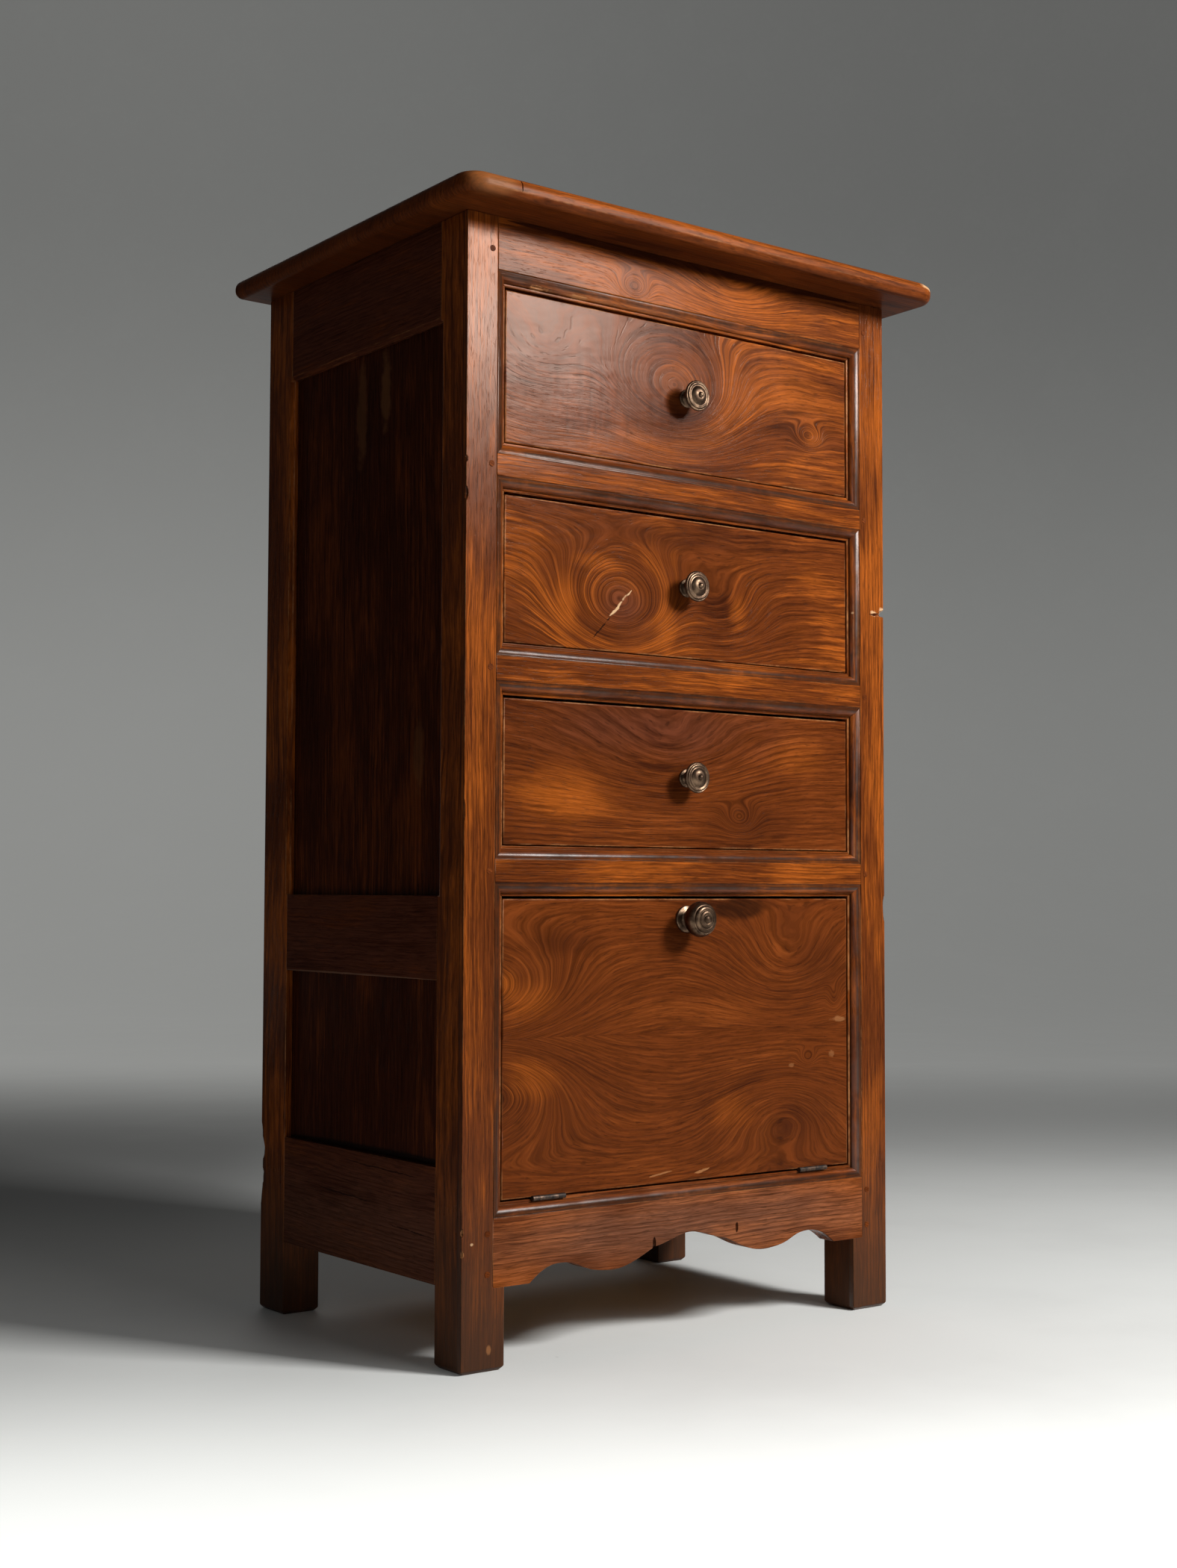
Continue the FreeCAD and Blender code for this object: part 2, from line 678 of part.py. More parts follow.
# Save the rest
save("top_board", top_board)
save("front_right_post", front_post)
save("front_left_post", mirrored(front_post))
save("back_right_post", back_post)
save("back_left_post", mirrored(back_post))
save("back_boards", Part.makeCompound(back_boards))
for name, piece in runners.items():
    save(name + "_drawer_runners", Part.makeCompound(both(piece)))
save("drawer_kickers", Part.makeCompound([piece for item in kickers for piece in both(item)]))
save("drawer_stops", Part.makeCompound(stops))
save("compartment_floor", compartment_floor)
save("frame_pegs", Part.makeCompound([piece for peg in pegs for piece in both(peg)]))
for name, (low, high) in openings.items():
    for piece, shape in drawer(low, high).items():
        save(name + "_drawer_" + piece, shape)
save("flap_upper_board", flap_upper)
save("flap_lower_board", flap_lower)
save("flap_knob", at_front(ball_knob, flap_knob_z))
save("flap_stops", Part.makeCompound(both(flap_stop)))
save("hinge_apron_leaves", Part.makeCompound(both(apron_leaf)))
save("hinge_flap_leaves", Part.makeCompound(both(flap_leaf)))
save("hinge_pins", Part.makeCompound(both(pin)))
save("hinge_apron_screws", Part.makeCompound([piece for item in apron_screws for piece in both(item)]))
save("hinge_flap_screws", Part.makeCompound([piece for item in flap_screws for piece in both(item)]))
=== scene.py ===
import bpy
import bmesh
import json
import math
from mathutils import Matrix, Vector


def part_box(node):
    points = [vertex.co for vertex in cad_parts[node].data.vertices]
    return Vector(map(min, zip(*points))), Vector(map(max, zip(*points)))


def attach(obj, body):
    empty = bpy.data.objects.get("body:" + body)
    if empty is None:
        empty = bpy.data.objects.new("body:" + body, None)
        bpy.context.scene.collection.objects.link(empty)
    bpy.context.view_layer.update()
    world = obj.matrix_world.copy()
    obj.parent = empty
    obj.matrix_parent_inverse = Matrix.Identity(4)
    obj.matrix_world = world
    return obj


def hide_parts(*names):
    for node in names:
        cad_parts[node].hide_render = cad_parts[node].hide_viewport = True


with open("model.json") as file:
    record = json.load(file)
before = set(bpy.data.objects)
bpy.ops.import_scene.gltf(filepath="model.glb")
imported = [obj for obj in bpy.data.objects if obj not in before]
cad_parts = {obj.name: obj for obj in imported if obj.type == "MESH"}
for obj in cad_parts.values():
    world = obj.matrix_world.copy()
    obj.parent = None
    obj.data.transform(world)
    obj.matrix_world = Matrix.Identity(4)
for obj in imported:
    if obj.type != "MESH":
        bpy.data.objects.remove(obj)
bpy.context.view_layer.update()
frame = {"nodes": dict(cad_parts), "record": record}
nodes = frame["nodes"]

# Places taken from the frame, in metres
face_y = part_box("scalloped_apron")[0][1]
drawer_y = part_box("middle_drawer_front")[0][1]
case_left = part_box("front_left_post")[0][0]
case_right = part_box("front_right_post")[1][0]
case_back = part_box("back_left_post")[1][1]
apron_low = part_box("scalloped_apron")[0][2]
side_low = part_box("left_bottom_rail")[1][2]
side_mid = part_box("left_middle_rail")[0][2]
panel_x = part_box("left_lower_panel")[0][0]
corner_left, corner_front, board_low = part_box("top_board")[0]
corner_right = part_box("top_board")[1][0]
board_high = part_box("top_board")[1][2]

# Opening moulding: its widths, and the depths behind the face where its parts rise and fall away
moulding_width = 0.014
rail_moulding = 0.008
moulding_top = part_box("front_top_rail")[0][2] + rail_moulding
quirk_depths = (0.0006, 0.0011, 0.0013, 0.0026)
ovolo_depths = (0.0008, 0.0014, 0.0066, 0.0076)
step_depths = (0.0056, 0.0066, 0.0070, 0.0078)

# Distances from the middle between which the polish on the posts' moulding changes
strip_inner = 0.235
strip_outer = 0.257

# Square front feet: the chamfer at the floor, and the filler's lap behind the apron
foot_chamfer = 0.004
foot_lap = 0.0012

# Widths of the eased arrises, the shortest edge and narrowest face that are eased, and face angles
board_arris = 0.0012
post_arris = 0.0012
rail_arris = 0.0007
side_arris = 0.0009
panel_arris = 0.0006
front_arris = 0.0006
least_arris = 0.003
least_step = 0.0003
merge_gap = 0.00001
flat_angle = math.radians(0.5)
arris_angle = math.radians(38)
shading_angle = math.radians(40)
proud_angle = 0.2
arris_slack = 1.1
pebble_roughness = 0.3
order_way = Vector((-0.75, 0.21, 1.32))

# Camera at the photograph's place
camera_place = (-1.4333, -1.9052, 0.481)
camera_turn = (math.pi / 2 + 0.05111, -0.00312, -0.64659)
camera_lens = 47.196


def set_camera():
    data = bpy.data.cameras.new("photo_camera")
    data.lens = camera_lens
    camera = bpy.data.objects.new("photo_camera", data)
    camera.location = camera_place
    camera.rotation_euler = camera_turn
    bpy.context.scene.collection.objects.link(camera)
    bpy.context.scene.camera = camera


# Node helpers
def feed(tree, socket, value):
    if isinstance(value, bpy.types.NodeSocket):
        tree.links.new(value, socket)
    else:
        socket.default_value = value


def add(tree, kind, inputs=None, **settings):
    node = tree.nodes.new(kind)
    for name, value in settings.items():
        setattr(node, name, value)
    for name, value in (inputs or {}).items():
        feed(tree, node.inputs[name], value)
    return node


def object_place(tree):
    return add(tree, "ShaderNodeTexCoord").outputs["Object"]


def split(tree, place):
    return add(tree, "ShaderNodeSeparateXYZ", {0: place}).outputs


def joined(tree, ways):
    return add(tree, "ShaderNodeCombineXYZ", ways).outputs[0]


def sums(tree, operation, first, second=0.0, third=0.0):
    return add(tree, "ShaderNodeMath", {0: first, 1: second, 2: third}, operation=operation).outputs[0]


def times(tree, first, second):
    return sums(tree, "MULTIPLY", first, second)


def times_plus(tree, first, second, third):
    return sums(tree, "MULTIPLY_ADD", first, second, third)


def less(tree, first, second):
    return sums(tree, "SUBTRACT", first, second)


def vectors(tree, operation, first, second=(0.0, 0.0, 0.0)):
    node = add(tree, "ShaderNodeVectorMath", {0: first, 1: second}, operation=operation)
    return node.outputs["Value"] if operation in ("DOT_PRODUCT", "LENGTH") else node.outputs["Vector"]


def ease(tree, value, low, high, start=0.0, end=1.0):
    values = {"Value": value, "From Min": low, "From Max": high, "To Min": start, "To Max": end}
    return add(tree, "ShaderNodeMapRange", values, interpolation_type="SMOOTHSTEP").outputs["Result"]


# Comes in between the first two values and goes out between the last two
def band(tree, value, edges):
    come_in = ease(tree, value, edges[0], edges[1])
    go_out = ease(tree, value, edges[2], edges[3], 1.0, 0.0)
    return times(tree, come_in, go_out)


def mixed(tree, share, first, second, blend="MIX"):
    node = add(tree, "ShaderNodeMix", {0: share, 6: first, 7: second}, data_type="RGBA", blend_type=blend)
    return node.outputs[2]


def noise(tree, place, scale, detail=2.0, rough=0.5, seed=0.0):
    values = {"Vector": place, "W": seed, "Scale": scale, "Detail": detail, "Roughness": rough}
    return add(tree, "ShaderNodeTexNoise", values, noise_dimensions="4D").outputs["Fac"]


def group_tree(name, inputs, outputs):
    tree = bpy.data.node_groups.new(name, "ShaderNodeTree")
    for label, kind, value in inputs:
        socket = tree.interface.new_socket(label, in_out="INPUT", socket_type=kind)
        socket.default_value = value
    for label, kind in outputs:
        tree.interface.new_socket(label, in_out="OUTPUT", socket_type=kind)
    return tree, tree.nodes.new("NodeGroupInput").outputs, tree.nodes.new("NodeGroupOutput").inputs


FLOAT = "NodeSocketFloat"
VECTOR = "NodeSocketVector"


# How far a place is from a centre, counted in the given sizes
def away_from_centre(tree, given):
    offset = vectors(tree, "SUBTRACT", given["Place"], given["Centre"])
    return vectors(tree, "DIVIDE", offset, given["Size"])


# Noise that frays an outline
def frayed(tree, given):
    values = {"Vector": given["Place"], "Scale": given["Rag Scale"], "Detail": 3.0}
    return add(tree, "ShaderNodeTexNoise", values).outputs


# A rounded rise in the growth rings: a knot, a crotch or a swirl
def swirl_group():
    inputs = [("Place", VECTOR, (0, 0, 0)), ("Centre", VECTOR, (0, 0, 0)), ("Size", VECTOR, (1, 1, 1)),
              ("Height", FLOAT, 1.0)]
    tree, given, out = group_tree("grain_swirl", inputs, [("Lift", FLOAT), ("Near", FLOAT)])
    away = away_from_centre(tree, given)
    square = vectors(tree, "DOT_PRODUCT", away, away)
    fall = sums(tree, "EXPONENT", times(tree, square, -1.0))
    tree.links.new(times(tree, fall, given["Height"]), out["Lift"])
    tree.links.new(fall, out["Near"])
    return tree


# A ragged patch: a stain, a bruise, a pale chip or a colour zone
def patch_group():
    inputs = [("Place", VECTOR, (0, 0, 0)), ("Centre", VECTOR, (0, 0, 0)), ("Size", VECTOR, (1, 1, 1)),
              ("Rag", FLOAT, 0.3), ("Rag Scale", FLOAT, 60.0), ("Softness", FLOAT, 0.5),
              ("Figure", FLOAT, 0.5)]
    tree, given, out = group_tree("ragged_patch", inputs, [("Mask", FLOAT)])
    away = away_from_centre(tree, given)
    lifted = times(tree, less(tree, frayed(tree, given)["Fac"], 0.5), given["Rag"])
    reach = times_plus(tree, lifted, 4.0, vectors(tree, "LENGTH", away))
    reach = times_plus(tree, less(tree, 0.5, given["Figure"]), 3.0, reach)
    inner = less(tree, 1.0, given["Softness"])
    tree.links.new(ease(tree, reach, inner, 1.0, 1.0, 0.0), out["Mask"])
    return tree


# A ragged line between two places, thinner towards its ends: cracks, scratches and joints, and also painted
# shadows and painted highlights
def line_group():
    inputs = [("Place", VECTOR, (0, 0, 0)), ("From", VECTOR, (0, 0, 0)), ("To", VECTOR, (1, 0, 0)),
              ("Width", FLOAT, 0.002), ("Rag", FLOAT, 0.003), ("Rag Scale", FLOAT, 70.0)]
    tree, given, out = group_tree("ragged_line", inputs, [("Mask", FLOAT)])
    shift = vectors(tree, "SUBTRACT", frayed(tree, given)["Color"], (0.5, 0.5, 0.5))
    rag = joined(tree, {"X": given["Rag"], "Y": given["Rag"], "Z": given["Rag"]})
    moved = vectors(tree, "ADD", given["Place"], vectors(tree, "MULTIPLY", shift, rag))
    run = vectors(tree, "SUBTRACT", given["To"], given["From"])
    start = vectors(tree, "SUBTRACT", moved, given["From"])
    share = sums(tree, "DIVIDE", vectors(tree, "DOT_PRODUCT", start, run),
                 vectors(tree, "DOT_PRODUCT", run, run))
    share = add(tree, "ShaderNodeClamp", {"Value": share}).outputs[0]
    along = add(tree, "ShaderNodeVectorMath", {0: run, "Scale": share}, operation="SCALE").outputs["Vector"]
    gap = vectors(tree, "LENGTH", vectors(tree, "SUBTRACT", start, along))
    off_middle = sums(tree, "ABSOLUTE", less(tree, times(tree, share, 2.0), 1.0))
    taper = less(tree, 1.0, sums(tree, "POWER", off_middle, 3.0))
    wide = times(tree, given["Width"], taper)
    tree.links.new(ease(tree, gap, times(tree, wide, 0.4), wide, 1.0, 0.0), out["Mask"])
    return tree


# Growth rings, streaks, silky fibre, pores, slow colour clouds and curl; the grain runs along X here
def timber_group():
    inputs = [("Place", VECTOR, (0, 0, 0)), ("Lift", FLOAT, 0.0), ("Rings", FLOAT, 260.0),
              ("Wander", FLOAT, 6.0), ("Seed", FLOAT, 0.0)]
    outputs = [(label, FLOAT) for label in ("Ring", "Streak", "Fibre", "Pore", "Cloud", "Curl")]
    tree, given, out = group_tree("timber", inputs, outputs)
    place, seed = given["Place"], given["Seed"]
    axis = split(tree, place)
    bend = noise(tree, vectors(tree, "MULTIPLY", place, (2.3, 5.0, 7.5)), 1.0, 2.0, 0.45, seed)
    quiver = noise(tree, vectors(tree, "MULTIPLY", place, (22.0, 30.0, 40.0)), 1.0, 2.0, 0.5, seed)
    across = times_plus(tree, axis["Y"], 0.45, axis["Z"])
    phase = times_plus(tree, across, given["Rings"], given["Lift"])
    phase = times_plus(tree, bend, given["Wander"], phase)
    phase = times_plus(tree, quiver, 0.8, phase)
    uneven = noise(tree, joined(tree, {"Y": times(tree, phase, 0.3)}), 1.0, 1.0, 0.5, seed)
    part = sums(tree, "FRACT", times_plus(tree, uneven, 2.2, phase))
    ring = band(tree, part, (0.40, 0.86, 0.88, 1.0))

    def along_rings(length, rate, depth, detail, rough):
        spot = joined(tree, {"X": times(tree, axis["X"], length), "Y": times(tree, phase, rate),
                             "Z": times(tree, axis["Y"], depth)})
        return noise(tree, spot, 1.0, detail, rough, seed)

    vary = along_rings(3.0, 0.33, 0.0, 1.0, 0.5)
    tree.links.new(times(tree, ring, ease(tree, vary, 0.30, 0.62, 0.15, 1.0)), out["Ring"])
    tree.links.new(along_rings(8.0, 0.9, 20.0, 2.0, 0.6), out["Streak"])
    tree.links.new(along_rings(24.0, 3.4, 200.0, 3.0, 0.7), out["Fibre"])
    tree.links.new(ease(tree, along_rings(70.0, 4.6, 500.0, 1.0, 0.5), 0.60, 0.68), out["Pore"])
    tree.links.new(along_rings(5.0, 0.085, 6.0, 3.0, 0.6), out["Cloud"])
    tree.links.new(along_rings(150.0, 0.10, 20.0, 1.0, 0.5), out["Curl"])
    return tree


# Handled edges: broken lines of bare, paler wood
def wear_group():
    inputs = [("Place", VECTOR, (0, 0, 0)), ("Edge", FLOAT, 0.0), ("Amount", FLOAT, 0.5),
              ("Seed", FLOAT, 0.0)]
    tree, given, out = group_tree("edge_wear", inputs, [("Mask", FLOAT)])
    slow = noise(tree, given["Place"], 22.0, 3.0, 0.6, given["Seed"])
    fine = noise(tree, given["Place"], 160.0, 2.0, 0.6, given["Seed"])
    broken = times(tree, ease(tree, slow, 0.40, 0.62), ease(tree, fine, 0.30, 0.62, 0.35, 1.0))
    tree.links.new(times(tree, times(tree, broken, given["Edge"]), given["Amount"]), out["Mask"])
    return tree


# Dust and old wax that gather low down
def grime_group():
    inputs = [("Place", VECTOR, (0, 0, 0)), ("Low", FLOAT, 0.0), ("High", FLOAT, 0.1),
              ("Amount", FLOAT, 0.5)]
    tree, given, out = group_tree("old_grime", inputs, [("Mask", FLOAT)])
    height = split(tree, given["Place"])["Z"]
    cloud = noise(tree, given["Place"], 30.0, 4.0, 0.65, 3.0)
    rise = times_plus(tree, less(tree, cloud, 0.5), 0.09, height)
    settled = ease(tree, rise, given["Low"], given["High"], 1.0, 0.0)
    tree.links.new(times(tree, settled, given["Amount"]), out["Mask"])
    return tree


swirls = swirl_group()
patches = patch_group()
lines = line_group()
timber = timber_group()
wear = wear_group()
grime = grime_group()


def place_group(tree, group, **values):
    node = add(tree, "ShaderNodeGroup", node_tree=group)
    for label, value in values.items():
        feed(tree, node.inputs[label.replace("_", " ")], value)
    return node.outputs


def new_material(name):
    material = bpy.data.materials.new(name)
    material.use_nodes = True
    tree = material.node_tree
    return material, tree, tree.nodes["Principled BSDF"]


def relief(tree, surface, height, strength, distance):
    bump = add(tree, "ShaderNodeBump", {"Height": height, "Strength": strength, "Distance": distance})
    feed(tree, surface.inputs["Normal"], bump.outputs["Normal"])


def shade(red, green, blue):
    return (red, green, blue, 1.0)


# Wood colours, linear
honey = shade(0.255, 0.061, 0.0080)
amber = shade(0.166, 0.0400, 0.0080)
russet = shade(0.104, 0.0240, 0.0052)
chestnut = shade(0.042, 0.0098, 0.0034)
umber = shade(0.022, 0.0050, 0.0019)
plum = shade(0.080, 0.0225, 0.0110)
bare = shade(0.30, 0.125, 0.045)
# Near black for pores, cracks and scratches, and for painted shade
soot_and_shade = shade(0.010, 0.0040, 0.0022)
chip_pale = shade(0.55, 0.34, 0.18)
# Old wax and dirt, darkened further as painted shade for the moulding's corners
old_wax_and_shade = shade(0.022, 0.0105, 0.0058)
foot_dirt = shade(0.046, 0.0230, 0.0135)
# Pale grey-brown for dust, and for painted sheen and highlights
dust_and_sheen = shade(0.17, 0.085, 0.052)
wax_sheen = shade(1.0, 0.70, 0.55)
lining_light = shade(0.42, 0.235, 0.105)
lining_middle = shade(0.34, 0.18, 0.076)
lining_dark = shade(0.22, 0.110, 0.045)

# Metal colours, linear
brass_brown = shade(0.052, 0.031, 0.020)
brass_rubbed = shade(0.165, 0.105, 0.066)
iron_black = shade(0.030, 0.022, 0.018)
iron_rust = shade(0.10, 0.060, 0.040)


# Wax and dirt, with painted shade, in the corners of the opening moulding, and a polish on its round
def moulding_finish(tree, surface, place, base, seed):
    axis = split(tree, place)
    back = less(tree, axis["Y"], face_y)
    # Painted shade with old wax and dirt: the quirks and the step behind the face are darkened
    corner_dirt_and_shade = sums(tree, "MAXIMUM", band(tree, back, quirk_depths), band(tree, back, step_depths))
    patchy = ease(tree, noise(tree, place, 45.0, 3.0, 0.6, seed), 0.25, 0.6, 0.35, 0.85)
    polish = ease(tree, noise(tree, place, 30.0, 3.0, 0.6, seed), 0.3, 0.65, 0.1, 0.45)
    left_strip = ease(tree, axis["X"], -strip_outer, -strip_inner, 0.35, 1.0)
    right_strip = ease(tree, axis["X"], strip_inner, strip_outer, 1.0, 2.2)
    polish = times(tree, polish, times(tree, left_strip, right_strip))
    feed(tree, surface.inputs["Coat Weight"], times(tree, band(tree, back, ovolo_depths), polish))
    surface.inputs["Coat Roughness"].default_value = 0.30
    return mixed(tree, times(tree, corner_dirt_and_shade, patchy), base, old_wax_and_shade)


# Waxed wood. Order names the axes along, into and across the grain
def waxed_wood(name, order="XYZ", rings=150.0, wander=5.0, seed=0.0, light=amber, middle=russet,
               dark=chestnut, warmth=0.5, calm=0.85, stir=1.6, contrast=0.55, curl=None, knots=(), zones=(),
               marks=(), worn=0.5, moulded=False, feet=False, pores=0.38, gloss=0.16, sheen=0.03):
    material, tree, surface = new_material(name)
    place = object_place(tree)
    axis = split(tree, place)
    turned = joined(tree, {label: axis[way] for label, way in zip("XYZ", order)})
    lift = 0.0
    lively = calm
    for centre, size, height in knots:
        swirl = place_group(tree, swirls, Place=place, Centre=centre, Size=size, Height=height)
        lift = sums(tree, "ADD", lift, swirl["Lift"])
        lively = sums(tree, "MAXIMUM", lively, times(tree, swirl["Near"], stir))
    grain = place_group(tree, timber, Place=turned, Lift=lift, Rings=rings, Wander=wander, Seed=seed)
    figure = times_plus(tree, grain["Streak"], 0.28, times(tree, grain["Cloud"], 0.55))
    figure = times_plus(tree, grain["Fibre"], 0.17, figure)
    figure = times_plus(tree, less(tree, figure, 0.5), lively, 0.5)
    level = times_plus(tree, less(tree, figure, 0.5), 6.0, warmth)
    base = mixed(tree, ease(tree, level, -0.25, 0.45), dark, middle)
    base = mixed(tree, ease(tree, level, 0.45, 1.15), base, light)
    for centre, size, colour, strength in zones:
        mask = place_group(tree, patches, Place=place, Centre=centre, Size=size, Rag=0.15, Rag_Scale=14.0,
                           Softness=0.9, Figure=figure)["Mask"]
        base = mixed(tree, times(tree, mask, strength), base, colour)
    base = mixed(tree, times(tree, grain["Ring"], contrast), base, dark)
    silk = ease(tree, grain["Fibre"], 0.25, 0.75, 0.62, 1.34)
    if curl:
        rippled = place_group(tree, patches, Place=place, Centre=curl[0], Size=curl[1], Rag=0.2,
                              Rag_Scale=14.0, Softness=0.8)["Mask"]
        ripple = times(tree, less(tree, grain["Curl"], 0.5), rippled)
        silk = times(tree, silk, times_plus(tree, ripple, 1.2, 1.0))
    tone = add(tree, "ShaderNodeCombineColor", {0: silk, 1: silk, 2: silk}).outputs[0]
    base = mixed(tree, 1.0, base, tone, "MULTIPLY")
    base = mixed(tree, times(tree, grain["Pore"], pores), base, soot_and_shade)
    edge = add(tree, "ShaderNodeAttribute", attribute_name="worn").outputs["Fac"]
    rubbed = place_group(tree, wear, Place=place, Edge=edge, Amount=worn, Seed=seed)["Mask"]
    base = mixed(tree, rubbed, base, bare)
    dull = 0.0
    if moulded:
        base = moulding_finish(tree, surface, place, base, seed)
    if feet:
        dirt = place_group(tree, grime, Place=place, Low=0.0, High=0.24, Amount=0.85)["Mask"]
        base = mixed(tree, dirt, base, foot_dirt)
        dull = times(tree, dirt, 0.25)
    for group, values, colour, strength in marks:
        mask = place_group(tree, group, Place=place, **values)["Mask"]
        base = mixed(tree, times(tree, mask, strength), base, colour)
    feed(tree, surface.inputs["Base Color"], base)
    smear = noise(tree, place, 9.0, 4.0, 0.6, seed)
    rough = times_plus(tree, grain["Fibre"], 0.12, gloss - 0.10)
    rough = times_plus(tree, smear, 0.20, rough)
    feed(tree, surface.inputs["Roughness"], sums(tree, "ADD", rough, dull))
    waves = noise(tree, vectors(tree, "MULTIPLY", turned, (9.0, 26.0, 26.0)), 1.0, 3.0, 0.55, seed)
    height = times_plus(tree, grain["Fibre"], 0.05, times(tree, waves, 0.9))
    height = times_plus(tree, grain["Pore"], -0.05, height)
    height = times_plus(tree, grain["Ring"], -0.02, height)
    if curl:
        height = times_plus(tree, ripple, 0.10, height)
    relief(tree, surface, height, 0.5, 0.002)
    surface.inputs["Specular Tint"].default_value = wax_sheen
    surface.inputs["Specular IOR Level"].default_value = sheen
    return material


# Plain unpolished wood inside
def lining_wood(name, order, seed):
    return waxed_wood(name, order, rings=120.0, wander=3.0, seed=seed, light=lining_light,
                      middle=lining_middle, dark=lining_dark, calm=0.6, contrast=0.35, pores=0.18, gloss=0.72)


# Old brass, brown and rubbed brighter in patches
def aged_brass():
    material, tree, surface = new_material("aged_brass")
    place = object_place(tree)
    cloud = noise(tree, place, 120.0, 4.0, 0.6, 1.0)
    fine = noise(tree, place, 900.0, 2.0, 0.5, 2.0)
    base = mixed(tree, ease(tree, cloud, 0.38, 0.66), brass_brown, brass_rubbed)
    feed(tree, surface.inputs["Base Color"], base)
    surface.inputs["Metallic"].default_value = 1.0
    feed(tree, surface.inputs["Roughness"], ease(tree, cloud, 0.3, 0.7, 0.48, 0.32))
    relief(tree, surface, fine, 0.12, 0.0004)
    return material


# Dark iron of the hinges
def dark_iron():
    material, tree, surface = new_material("dark_iron")
    cloud = noise(tree, object_place(tree), 160.0, 4.0, 0.6, 1.0)
    base = mixed(tree, ease(tree, cloud, 0.4, 0.65), iron_black, iron_rust)
    feed(tree, surface.inputs["Base Color"], base)
    surface.inputs["Metallic"].default_value = 0.7
    feed(tree, surface.inputs["Roughness"], ease(tree, cloud, 0.3, 0.7, 0.62, 0.38))
    relief(tree, surface, cloud, 0.3, 0.0006)
    return material


# Places on the drawer fronts and on the face of the frame
def at_front(x, z):
    return (x, drawer_y, z)


def at_face(x, z):
    return (x, face_y, z)


# A ragged spot of another colour; fineness is the scale of its ragged outline
def stain(centre, size, fineness, rag, colour, strength):
    values = {"Centre": centre, "Size": size, "Rag": rag, "Rag_Scale": fineness, "Softness": 0.5}
    return (patches, values, colour, strength)


def line_mark(start, end, width, rag, colour, strength):
    return (lines, {"From": start, "To": end, "Width": width, "Rag": rag}, colour, strength)


# A split that runs up the nose of the top board and back
def board_split(low_x, high_x, run, width, rag, colour, strength):
    return line_mark((low_x, corner_front, board_low), (high_x, corner_front + run, board_high),
                   width, rag, colour, strength)


# Scars: where the wood is nicked, each with its place and size
scar_height = 0.804
split_x = corner_left + 0.066
chip_x = corner_right - 0.014
rubbed_xs = (-0.205, -0.150)
# Height of a painted shadow on the top rail under the top board's overhang
board_shadow_height = board_low - 0.002
nicks = {
    "front_right_post": [(at_face(case_right - 0.008, scar_height), (0.014, 0.006, 0.0020)),
                         (at_face(case_right - 0.001, scar_height + 0.002), (0.006, 0.007, 0.0045)),
                         (at_face(case_right, 0.46), (0.003, 0.003, 0.016))],
    "front_left_post": [(at_face(case_left, 0.880), (0.0030, 0.0030, 0.0080)),
                        (at_face(case_left, 0.915), (0.0022, 0.0022, 0.0040)),
                        (at_face(case_left, 0.140), (0.0022, 0.0022, 0.0050)),
                        (at_face(case_left, 0.119), (0.0018, 0.0018, 0.0040)),
                        (at_face(case_left, 0.560), (0.0018, 0.0018, 0.0120))],
    "back_left_post": [((case_left, case_back, 0.182), (0.0048, 0.0090, 0.0150)),
                       ((case_left, case_back, 0.150), (0.0036, 0.0080, 0.0130)),
                       ((case_left, case_back, 0.165), (0.0024, 0.0060, 0.0500))],
    "top_board": [((chip_x, corner_front + 0.003, board_high), (0.014, 0.007, 0.0055)),
                  ((split_x, corner_front, board_high - 0.006), (0.0008, 0.0060, 0.0090))],
    "front_top_rail": [((rubbed_xs[0], face_y + 0.003, moulding_top - 0.004), (0.0120, 0.0025, 0.0022)),
                       ((rubbed_xs[1], face_y + 0.002, moulding_top - 0.003), (0.0200, 0.0020, 0.0018))],
    "scalloped_apron": [(at_face(-0.050, apron_low + 0.023), (0.0024, 0.0070, 0.0085)),
                        (at_face(0.066, apron_low + 0.030), (0.0020, 0.0050, 0.0060))],
}

# Marks: the colour of the bare or dirty wood round the scars, and stains and scratches elsewhere; also
# painted shadows under the top board and at the foot of a side panel, and a painted highlight along a side
# rail
chip_size = (0.006, 0.02, 0.004)
post_marks = [
    stain(at_face(case_right - 0.016, scar_height + 0.001), chip_size, 250.0, 0.3, chip_pale, 0.8),
    stain(at_face(case_right - 0.002, scar_height + 0.006), chip_size, 250.0, 0.3, chip_pale, 0.8),
    line_mark(at_face(case_right - 0.024, scar_height), at_face(case_right, scar_height),
            0.0016, 0.002, soot_and_shade, 0.9),
    line_mark((case_right - 0.051, face_y + 0.004, scar_height - 0.002),
            (case_right - 0.037, face_y + 0.004, scar_height + 0.003), 0.0018, 0.003, chip_pale, 0.8)]
for height in (0.119, 0.140, 0.880):
    post_marks.append(stain(at_face(case_left, height), (0.003, 0.003, 0.004), 350.0, 0.35, bare, 0.8))
post_marks.append(stain(at_face(case_left + 0.033, 0.022), (0.0035, 0.02, 0.006), 300.0, 0.1, bare, 0.6))
post_marks.append(stain(at_face(case_left + 0.012, 0.128), (0.0025, 0.02, 0.002), 300.0, 0.2, chip_pale, 0.7))
rail_marks = [stain((x, face_y + 0.004, moulding_top - 0.004), (0.014, 0.01, 0.003), 220.0, 0.35, bare, 0.8)
              for x in rubbed_xs]
